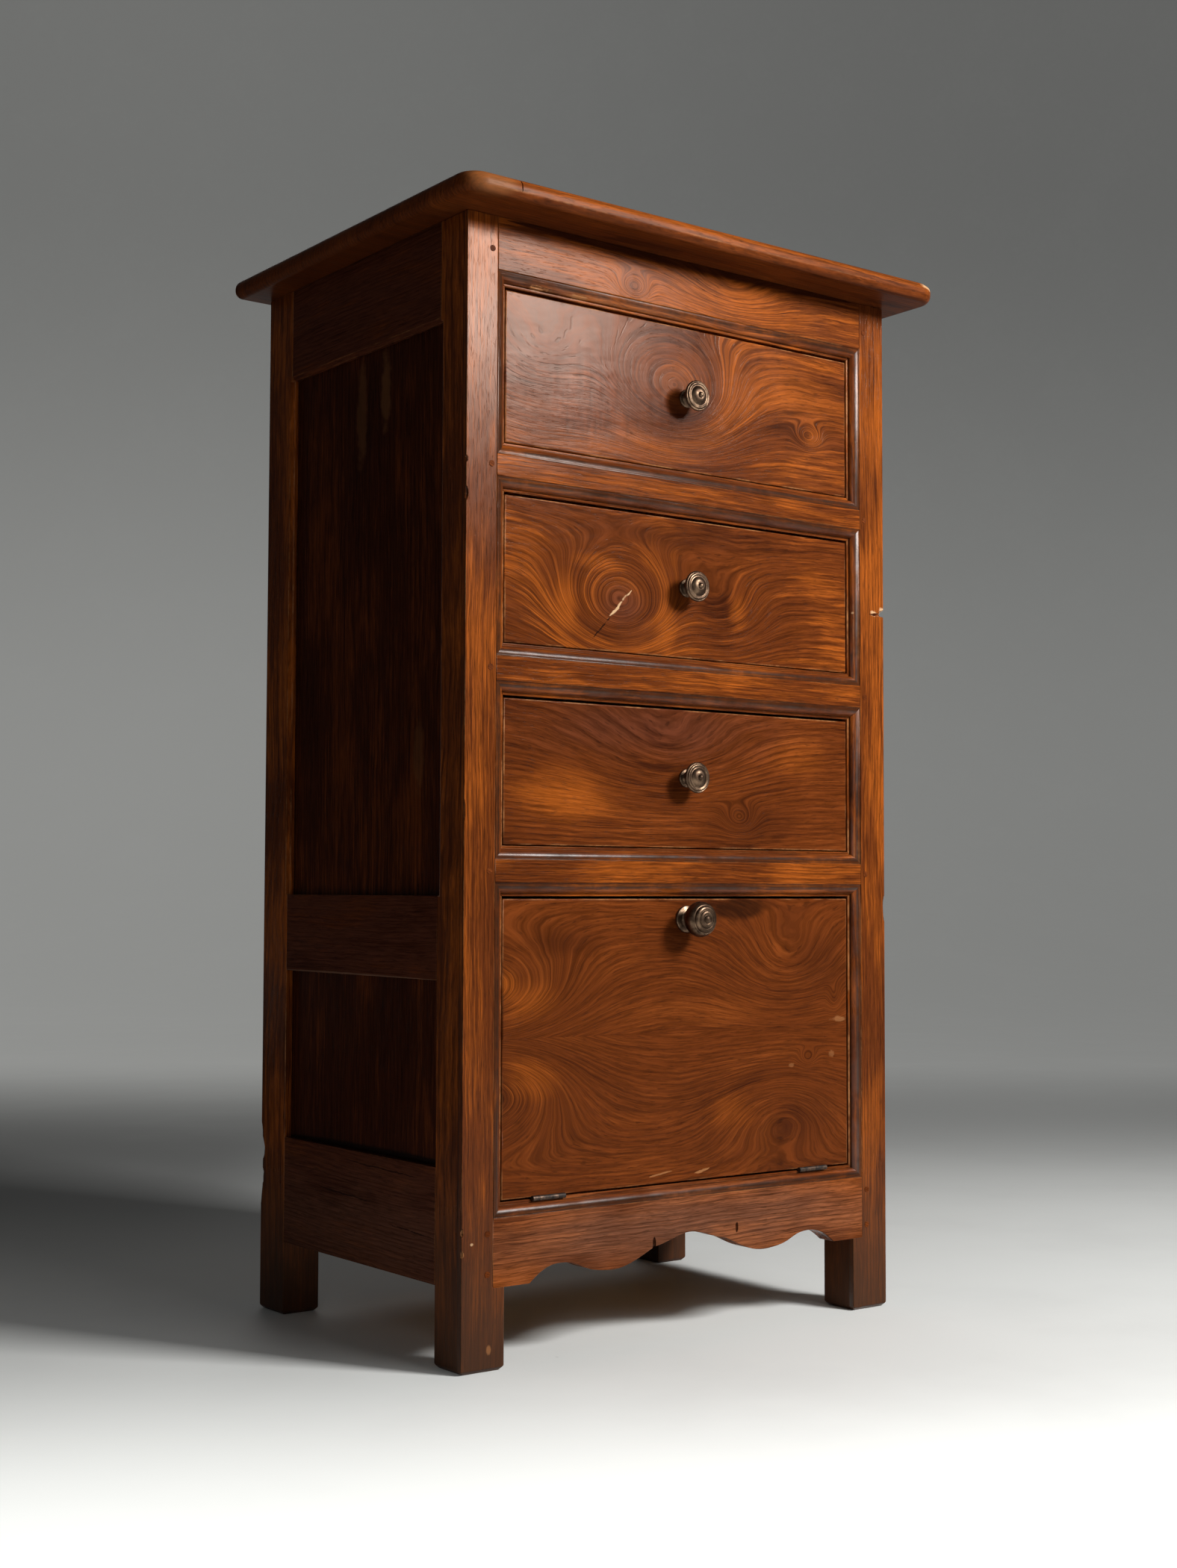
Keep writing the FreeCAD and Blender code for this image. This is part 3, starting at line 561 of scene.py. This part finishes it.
# A painted shadow along the top of the top rail, under the top board's overhang
rail_marks.append(line_mark(at_face(case_left + 0.045, board_shadow_height), at_face(case_right - 0.045, board_shadow_height),
                          0.0095, 0.002, umber, 0.85))
board_marks = [
    stain((corner_left + 0.030, corner_front, board_high), (0.040, 0.030, 0.030), 30.0, 0.05, bare, 0.35),
    board_split(split_x, corner_left + 0.064, 0.05, 0.0016, 0.002, soot_and_shade, 0.8),
    board_split(-0.236, -0.233, 0.03, 0.0014, 0.003, umber, 0.8),
    board_split(-0.224, -0.222, 0.02, 0.0012, 0.003, umber, 0.7),
    stain((chip_x, corner_front, board_high - 0.004), (0.018, 0.012, 0.006), 200.0, 0.3, chip_pale, 0.7)]
side_marks = [line_mark((case_left, y, z), (case_left, y + run, z + 0.004), 0.0012, 0.004, soot_and_shade, 0.8)
              for y, z, run in ((-0.12, 0.185, 0.16), (-0.02, 0.150, 0.12), (-0.14, 0.128, 0.09))]
# A painted highlight along the lower edge of the side's middle rail
side_marks.append(line_mark((case_left, -0.150, side_mid), (case_left, 0.180, side_mid + 0.001),
                          0.0020, 0.001, dust_and_sheen, 0.8))
panel_spots = ((-0.02, 1.02, 0.05, 0.25), (0.03, 1.00, 0.07, 0.18), (-0.09, 0.62, 0.05, 0.15))
panel_marks = [stain((case_left + 0.012, y, z), (0.05, 0.012, tall), 60.0, 0.30, bare, strength)
               for y, z, tall, strength in panel_spots]
# A painted shadow along the foot of the lower side panel, in the gap above the bottom rail
panel_marks.append(line_mark((panel_x, -0.180, side_low + 0.003), (panel_x, 0.200, side_low),
                           0.0070, 0.001, soot_and_shade, 0.9))

# Figure runs this far into the wood, so that it is the same right through a board
deep = 0.4


# Figure as the photograph shows it: a knot's place, width, height and rise, or a zone's colour and strength
def knot(place, wide, tall, rise):
    return (place, (wide, deep, tall), rise)


def zone(place, wide, tall, colour, strength):
    return (place, (wide, deep, tall), colour, strength)


flap_grain = {"warmth": 0.45, "calm": 0.6, "stir": 1.15, "contrast": 0.42, "worn": 0.7}
materials = {
    "post": waxed_wood(
        "post_wood", "ZYX", rings=200.0, seed=1.0, warmth=0.68, light=honey, worn=0.9, sheen=0.09,
        moulded=True, feet=True, marks=post_marks,
        zones=[zone(at_face(case_right, 1.02), 0.06, 0.20, honey, 0.95),
               zone(at_face(case_right, 0.28), 0.06, 0.24, chestnut, 0.30)]),
    "rail": waxed_wood(
        "rail_wood", rings=200.0, seed=2.0, warmth=0.65, light=honey, worn=0.6, sheen=0.05,
        moulded=True, marks=rail_marks,
        knots=[knot(at_face(-0.080, 1.128), 0.020, 0.014, 9.0), knot(at_face(0.06, 1.14), 0.09, 0.03, 6.0)],
        zones=[zone(at_face(0.0, 1.135), 0.26, 0.03, honey, 0.5),
               zone(at_face(0.146, 0.923), 0.07, 0.012, honey, 0.6),
               zone(at_face(-0.110, 0.914), 0.20, 0.020, honey, 0.7),
               # Dust and a painted sheen on the apron
               zone(at_face(0.0, 0.120), 0.45, 0.055, dust_and_sheen, 0.45)]),
    "side": waxed_wood(
        "side_wood", "YXZ", rings=200.0, seed=3.0, light=russet, middle=plum, dark=chestnut, worn=0.5,
        # Dust and a painted sheen low on the side
        marks=side_marks, zones=[zone((case_left, 0.0, 0.12), deep, 0.09, dust_and_sheen, 0.22)]),
    "panel": waxed_wood(
        "panel_wood", "ZXY", rings=140.0, seed=4.0, light=russet, middle=chestnut, dark=umber, worn=0.3,
        marks=panel_marks),
    "board": waxed_wood(
        "board_wood", "XZY", rings=170.0, seed=5.0, warmth=0.5, worn=0.8, sheen=0.06, gloss=0.30,
        marks=board_marks,
        zones=[((0.0, corner_front, board_high - 0.004), (3.0, 0.016, 0.013), honey, 0.8)]),
    "upper": waxed_wood(
        "upper_drawer_wood", seed=6.0, warmth=0.55, worn=0.8, sheen=0.075, light=honey,
        curl=(at_front(-0.14, 1.01), (0.15, deep, 0.09)),
        knots=[knot(at_front(-0.015, 1.022), 0.085, 0.060, 22.0),
               knot(at_front(-0.20, 1.02), 0.10, 0.07, 10.0),
               knot(at_front(0.183, 1.003), 0.018, 0.012, 7.0)],
        zones=[zone(at_front(-0.17, 1.02), 0.19, 0.09, plum, 0.75),
               zone(at_front(-0.01, 1.00), 0.09, 0.06, chestnut, 0.5),
               zone(at_front(0.15, 1.045), 0.14, 0.05, honey, 0.8),
               zone(at_front(-0.10, 0.955), 0.15, 0.02, honey, 0.5),
               zone(at_front(0.188, 1.003), 0.03, 0.020, honey, 0.7)]),
    "middle": waxed_wood(
        "middle_drawer_wood", seed=7.0, warmth=0.55, worn=0.8, light=honey,
        knots=[knot(at_front(-0.092, 0.783), 0.075, 0.054, 26.0),
               knot(at_front(0.055, 0.785), 0.06, 0.05, 8.0)],
        zones=[zone(at_front(-0.163, 0.780), 0.022, 0.045, honey, 0.85),
               zone(at_front(-0.115, 0.828), 0.055, 0.014, honey, 0.75),
               zone(at_front(-0.030, 0.765), 0.022, 0.035, honey, 0.8),
               zone(at_front(-0.215, 0.835), 0.035, 0.04, honey, 0.4),
               zone(at_front(0.075, 0.790), 0.025, 0.035, honey, 0.7),
               zone(at_front(-0.088, 0.783), 0.046, 0.036, plum, 0.85),
               zone(at_front(-0.02, 0.865), 0.20, 0.022, chestnut, 0.55)],
        marks=[line_mark(at_front(-0.074, 0.803), at_front(-0.108, 0.768), 0.0020, 0.008, chip_pale, 0.9),
               line_mark(at_front(-0.100, 0.775), at_front(-0.130, 0.744), 0.0014, 0.006, soot_and_shade, 0.9)]),
    "lower": waxed_wood(
        "lower_drawer_wood", seed=8.0, warmth=0.5, worn=0.8,
        knots=[knot(at_front(0.078, 0.559), 0.022, 0.015, 7.0),
               knot(at_front(-0.02, 0.625), 0.13, 0.06, 8.0)],
        zones=[zone(at_front(-0.05, 0.655), 0.24, 0.055, plum, 0.8),
               zone(at_front(-0.165, 0.578), 0.085, 0.040, honey, 0.9),
               zone(at_front(0.165, 0.630), 0.06, 0.03, honey, 0.4),
               zone(at_front(0.11, 0.56), 0.10, 0.03, chestnut, 0.5)]),
    "flap_upper": waxed_wood(
        "flap_upper_wood", seed=9.0, **flap_grain,
        knots=[knot(at_front(-0.275, 0.372), 0.125, 0.056, 22.0),
               knot(at_front(0.150, 0.395), 0.090, 0.055, 10.5),
               knot(at_front(0.222, 0.357), 0.010, 0.016, 4.0)],
        zones=[zone(at_front(-0.240, 0.385), 0.022, 0.02, honey, 0.8),
               zone(at_front(-0.205, 0.365), 0.05, 0.03, honey, 0.45),
               zone(at_front(-0.165, 0.425), 0.07, 0.02, chestnut, 0.5),
               zone(at_front(0.20, 0.400), 0.07, 0.05, chestnut, 0.5),
               zone(at_front(0.03, 0.350), 0.16, 0.02, amber, 0.5)],
        marks=[stain(at_front(0.075, 0.460), (0.055, deep, 0.016), 40.0, 0.20, soot_and_shade, 0.7),
               stain(at_front(0.228, 0.333), (0.014, deep, 0.004), 120.0, 0.30, bare, 0.5)]),
    "flap_lower": waxed_wood(
        "flap_lower_wood", seed=15.0, **flap_grain,
        knots=[knot(at_front(-0.275, 0.280), 0.125, 0.056, -22.0),
               knot(at_front(0.140, 0.235), 0.090, 0.05, -9.5),
               knot(at_front(0.180, 0.291), 0.012, 0.009, 5.0)],
        zones=[zone(at_front(-0.205, 0.285), 0.045, 0.03, honey, 0.5),
               zone(at_front(0.06, 0.24), 0.05, 0.03, honey, 0.3),
               zone(at_front(0.18, 0.225), 0.08, 0.05, chestnut, 0.4)],
        marks=[line_mark(at_front(-0.052, 0.1745), at_front(-0.018, 0.1790), 0.0014, 0.003, bare, 0.8),
               line_mark(at_front(0.012, 0.1740), at_front(0.034, 0.1785), 0.0020, 0.004, bare, 0.9),
               stain(at_front(0.155, 0.2835), (0.005, deep, 0.003), 300.0, 0.25, bare, 0.35),
               stain(at_front(0.217, 0.2935), (0.005, deep, 0.005), 300.0, 0.25, bare, 0.35)]),
    "lining_x": lining_wood("lining_along", "XYZ", 11.0),
    "lining_y": lining_wood("lining_deep", "YXZ", 12.0),
    "lining_z": lining_wood("lining_upright", "ZYX", 13.0),
    "peg": waxed_wood("peg_wood", "YXZ", rings=400.0, seed=14.0, gloss=0.4),
    "brass": aged_brass(),
    "iron": dark_iron(),
}


def take(piece):
    bpy.ops.object.select_all(action="DESELECT")
    piece.select_set(True)
    bpy.context.view_layer.objects.active = piece


def edit_all():
    bpy.ops.object.mode_set(mode="EDIT")
    bpy.ops.mesh.select_all(action="SELECT")


# Edges eased by hand: a copy of the node with small rounded arrises, marked where it is worn
def soften(name, width):
    piece = bpy.data.objects.new(name + "_eased", nodes[name].data.copy())
    bpy.context.scene.collection.objects.link(piece)
    take(piece)
    edit_all()
    bpy.ops.mesh.remove_doubles(threshold=merge_gap)
    bpy.ops.object.mode_set(mode="OBJECT")
    if name in ("front_left_post", "front_right_post"):
        square_foot(piece, name)
    edit_all()
    bpy.ops.mesh.dissolve_limited(angle_limit=flat_angle)
    bpy.ops.object.mode_set(mode="OBJECT")
    pick_arrises(piece)
    bevel = piece.modifiers.new("arris", "BEVEL")
    bevel.width = width
    bevel.segments = 2
    bevel.limit_method = "WEIGHT"
    bevel.use_clamp_overlap = False
    bpy.ops.object.modifier_apply(modifier="arris")
    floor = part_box(name)[0][2]
    for point in piece.data.vertices:
        point.co.z = max(point.co.z, floor)
    for order, (place, size) in enumerate(nicks.get(name, ())):
        nick(piece, place, size, order)
    mark_worn(piece, width)
    bpy.ops.object.shade_smooth_by_angle(angle=shading_angle)
    flats = piece.modifiers.new("flats", "WEIGHTED_NORMAL")
    flats.keep_sharp = True
    flats.weight = 100
    bpy.ops.object.modifier_apply(modifier="flats")
    return piece


def face_width(face):
    return face.calc_area() / max(edge.calc_length() for edge in face.edges)


# The edges that a hand plane eases: not the short ones round a peg hole or a hinge's shallow bed
def pick_arrises(piece):
    shape = bmesh.new()
    shape.from_mesh(piece.data)
    weight = shape.edges.layers.float.new("bevel_weight_edge")
    for edge in shape.edges:
        sharp = edge.calc_face_angle(0.0) > arris_angle and edge.calc_length() > least_arris
        for face in edge.link_faces:
            if face_width(face) < least_step:
                sharp = False
        edge[weight] = 1.0 if sharp else 0.0
    shape.to_mesh(piece.data)
    shape.free()


# A chip or a split: a rough pebble cut out of the piece
def nick(piece, place, size, order):
    bpy.ops.object.select_all(action="DESELECT")
    bpy.ops.mesh.primitive_ico_sphere_add(subdivisions=2, radius=1.0, location=place, scale=size)
    pebble = bpy.context.object
    bpy.ops.object.transform_apply(location=True, rotation=True, scale=True)
    edit_all()
    bpy.ops.transform.vertex_random(offset=pebble_roughness * min(size), seed=order)
    bpy.ops.object.mode_set(mode="OBJECT")
    shape_with(piece, pebble, "DIFFERENCE")


# Cut a tool out of a piece, or join it on
def shape_with(piece, tool, operation):
    take(piece)
    cut = piece.modifiers.new("cut", "BOOLEAN")
    cut.operation = operation
    cut.solver = "EXACT"
    cut.object = tool
    bpy.ops.object.modifier_apply(modifier="cut")
    bpy.data.objects.remove(tool)
    edit_all()
    bpy.ops.mesh.fill_holes(sides=0)
    bpy.ops.object.mode_set(mode="OBJECT")


# Below the apron a front foot is square: the moulding's hollow on its inner corner is filled
def square_foot(piece, name):
    low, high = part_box(name)
    side = 1.0 if low[0] < 0.0 else -1.0
    inner = high[0] if low[0] < 0.0 else low[0]
    size = (moulding_width + foot_chamfer, moulding_width, apron_low - foot_chamfer + foot_lap)
    place = (inner - side * size[0] / 2, face_y + size[1] / 2, foot_chamfer + size[2] / 2)
    bpy.ops.object.select_all(action="DESELECT")
    bpy.ops.mesh.primitive_cube_add(size=1.0, location=place, scale=size)
    filler = bpy.context.object
    bpy.ops.object.transform_apply(location=True, rotation=True, scale=True)
    bpy.ops.object.mode_set(mode="EDIT")
    bpy.ops.mesh.select_mode(type="FACE")
    bpy.ops.mesh.select_all(action="DESELECT")
    bpy.ops.object.mode_set(mode="OBJECT")
    for face in filler.data.polygons:
        face.select = face.normal.z < -0.5
    bpy.ops.object.mode_set(mode="EDIT")
    bpy.ops.mesh.extrude_region_move(TRANSFORM_OT_translate={"value": (0.0, 0.0, -foot_chamfer)})
    bpy.ops.object.mode_set(mode="OBJECT")
    for point in filler.data.vertices:
        if point.co.z < foot_chamfer / 2:
            if side * (inner - point.co.x) < foot_chamfer / 2:
                point.co.x -= side * foot_chamfer
            if point.co.y - face_y < foot_chamfer / 2:
                point.co.y += foot_chamfer
    shape_with(piece, filler, "UNION")
    settle_order(piece)


# Points, edges and faces in an order set by their places, so that each run goes on in the same way
def settle_order(piece):
    shape = bmesh.new()
    shape.from_mesh(piece.data)
    shape.verts.sort(key=lambda point: point.co.dot(order_way))
    shape.edges.sort(key=lambda edge: (edge.verts[0].co + edge.verts[1].co).dot(order_way))
    shape.faces.sort(key=lambda face: face.calc_center_median().dot(order_way))
    shape.to_mesh(piece.data)
    shape.free()


# An arris is a row of points that touches only narrow faces and stands out
def mark_worn(piece, width):
    shape = bmesh.new()
    shape.from_mesh(piece.data)
    narrow = {face: face_width(face) < width * arris_slack for face in shape.faces}
    values = []
    for point in shape.verts:
        thin = all(narrow[face] for face in point.link_faces)
        proud = any(edge.is_convex and edge.calc_face_angle(0.0) > proud_angle for edge in point.link_edges)
        values.append(1.0 if thin and proud else 0.0)
    shape.free()
    worn = piece.data.attributes.new("worn", "FLOAT", "POINT")
    worn.data.foreach_set("value", values)


def dress(piece, material):
    piece.data.materials.clear()
    piece.data.materials.append(material)


def body_of(name):
    for body, members in frame["record"]["behaviour"]["bodies"].items():
        if name in members:
            return body


# Pieces with eased edges: their wood and the width of the arris
eased = {"top_board": ("board", board_arris)}
for post in ("front_left_post", "front_right_post", "back_left_post", "back_right_post"):
    eased[post] = ("post", post_arris)
for rail in ("front_top_rail", "upper_drawer_rail", "middle_drawer_rail", "lower_drawer_rail",
             "scalloped_apron"):
    eased[rail] = ("rail", rail_arris)
for side in ("left", "right"):
    for rail in ("top_rail", "middle_rail", "bottom_rail"):
        eased[side + "_" + rail] = ("side", side_arris)
    for panel in ("upper_panel", "lower_panel"):
        eased[side + "_" + panel] = ("panel", panel_arris)
for name in ("upper", "middle", "lower"):
    eased[name + "_drawer_front"] = (name, front_arris)
eased["flap_upper_board"] = ("flap_upper", front_arris)
eased["flap_lower_board"] = ("flap_lower", front_arris)

# Pieces that keep the shape of their node
plain = {"back_top_rail": "lining_x", "back_bottom_rail": "lining_x", "back_boards": "lining_z",
         "drawer_kickers": "lining_y", "drawer_stops": "lining_x", "compartment_floor": "lining_x",
         "flap_stops": "lining_z", "frame_pegs": "peg", "flap_knob": "brass"}
for name in ("apron_leaves", "flap_leaves", "pins", "apron_screws", "flap_screws"):
    plain["hinge_" + name] = "iron"
for name in ("upper", "middle", "lower"):
    plain[name + "_drawer_runners"] = "lining_y"
    plain[name + "_drawer_left_side"] = "lining_y"
    plain[name + "_drawer_right_side"] = "lining_y"
    plain[name + "_drawer_back"] = "lining_x"
    plain[name + "_drawer_bottom"] = "lining_x"
    plain[name + "_drawer_knob"] = "brass"

for name, (material, width) in eased.items():
    piece = soften(name, width)
    dress(piece, materials[material])
    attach(piece, body_of(name))
    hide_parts(name)
for name, material in plain.items():
    dress(nodes[name], materials[material])

# Sizes and greys of the studio
sweep_size = 16.0
wall_height = 7.0
cove_width = 3.0
cove_steps = 20
floor_pale = shade(0.72, 0.725, 0.70)
wall_grey = shade(0.12, 0.12, 0.12)
floor_shaded = shade(0.16, 0.16, 0.155)
floor_cloud = shade(0.40, 0.40, 0.39)
floor_speck = shade(0.25, 0.25, 0.24)
glow_white = shade(0.99, 1.0, 0.965)


# Floor that curves up into a wall behind the chest, square to the camera
def studio():
    bpy.ops.object.select_all(action="DESELECT")
    bpy.ops.mesh.primitive_plane_add(size=sweep_size, rotation=(0.0, 0.0, camera_turn[2]))
    sweep = bpy.context.object
    sweep.name = "studio_sweep"
    back = max(point.co.y for point in sweep.data.vertices)
    bpy.ops.object.mode_set(mode="EDIT")
    bpy.ops.mesh.select_all(action="DESELECT")
    bpy.ops.object.mode_set(mode="OBJECT")
    for edge in sweep.data.edges:
        edge.select = all(sweep.data.vertices[i].co.y == back for i in edge.vertices)
    bpy.ops.object.mode_set(mode="EDIT")
    bpy.ops.mesh.select_mode(type="EDGE")
    bpy.ops.mesh.extrude_region_move(TRANSFORM_OT_translate={"value": (0.0, 0.0, wall_height)})
    bpy.ops.object.mode_set(mode="OBJECT")
    bevel = sweep.modifiers.new("cove", "BEVEL")
    bevel.width = cove_width
    bevel.segments = cove_steps
    bpy.ops.object.modifier_apply(modifier="cove")
    bpy.ops.object.shade_smooth()
    bpy.ops.object.transform_apply(location=True, rotation=True, scale=True)
    dress(sweep, studio_grey())


# Pale floor, darker in the chest's shade, that turns into a grey wall with its own faint light
def studio_grey():
    material, tree, surface = new_material("studio_grey")
    place = object_place(tree)
    height = split(tree, place)["Z"]
    turn_sine, turn_cosine = math.sin(camera_turn[2]), math.cos(camera_turn[2])
    depth = vectors(tree, "DOT_PRODUCT", place, (-turn_sine, turn_cosine, 0.0))
    sideways = vectors(tree, "DOT_PRODUCT", place, (turn_cosine, turn_sine, 0.0))
    base = mixed(tree, ease(tree, depth, 0.6, 3.2), floor_pale, wall_grey)
    shaded = times(tree, ease(tree, sideways, -0.10, -0.70), ease(tree, depth, 0.0, 0.9))
    base = mixed(tree, times(tree, shaded, 0.85), base, floor_shaded)
    cloud = noise(tree, place, 3.0, 5.0, 0.6, 2.0)
    base = mixed(tree, ease(tree, cloud, 0.42, 0.75, 0.0, 0.12), base, floor_cloud)
    speck = ease(tree, noise(tree, place, 38.0, 3.0, 0.6, 5.0), 0.70, 0.76, 0.0, 0.35)
    base = mixed(tree, times(tree, speck, ease(tree, cloud, 0.5, 0.6)), base, floor_speck)
    feed(tree, surface.inputs["Base Color"], base)
    surface.inputs["Roughness"].default_value = 0.6
    surface.inputs["Specular IOR Level"].default_value = 0.15
    path = add(tree, "ShaderNodeLightPath").outputs
    seen = sums(tree, "MAXIMUM", path["Is Camera Ray"], path["Is Glossy Ray"])
    wall = times(tree, ease(tree, depth, 1.3, 3.4, 0.0, 0.235), ease(tree, height, 0.8, 4.2, 1.0, 0.58))
    wall = times(tree, wall, ease(tree, sideways, -2.6, 2.6, 1.08, 0.84))
    # Painted light: the front of the floor glows brighter, seen directly and in reflections
    front = ease(tree, depth, -1.0, -0.20, 0.62, 0.0)
    feed(tree, surface.inputs["Emission Strength"], times(tree, seen, sums(tree, "ADD", wall, front)))
    surface.inputs["Emission Color"].default_value = glow_white
    return material


# A rectangular lamp turned towards a place
def lamp(name, place, target, size, power):
    data = bpy.data.lights.new(name, "AREA")
    data.shape = "RECTANGLE"
    data.size = size[0]
    data.size_y = size[1]
    data.energy = power
    light = bpy.data.objects.new(name, data)
    light.location = place
    light.rotation_euler = (Vector(target) - Vector(place)).to_track_quat("-Z", "Y").to_euler()
    bpy.context.scene.collection.objects.link(light)


# A soft key from the right, weak fills and a dim room
def lighting():
    lamp("key_softbox", place=(0.95, -2.0, 1.8), target=(0.0, -0.15, 0.6), size=(0.6, 0.6), power=86.0)
    lamp("front_fill", place=(0.3, -2.6, 2.1), target=(0.0, 0.0, 0.6), size=(1.0, 1.2), power=12.0)
    lamp("back_fill", place=(1.2, 2.8, 2.2), target=(0.0, 0.1, 0.5), size=(1.4, 1.4), power=6.0)
    lamp("camera_strip", place=(-2.0, -2.35, 1.5), target=(0.1, -0.2, 0.7), size=(0.8, 1.1), power=5.0)
    world = bpy.data.worlds.new("dim_room")
    bpy.context.scene.world = world
    world.use_nodes = True
    background = world.node_tree.nodes["Background"]
    background.inputs["Color"].default_value = shade(0.80, 0.83, 0.85)
    background.inputs["Strength"].default_value = 0.04


set_camera()
studio()
lighting()
bpy.context.scene.view_settings.view_transform = "Standard"
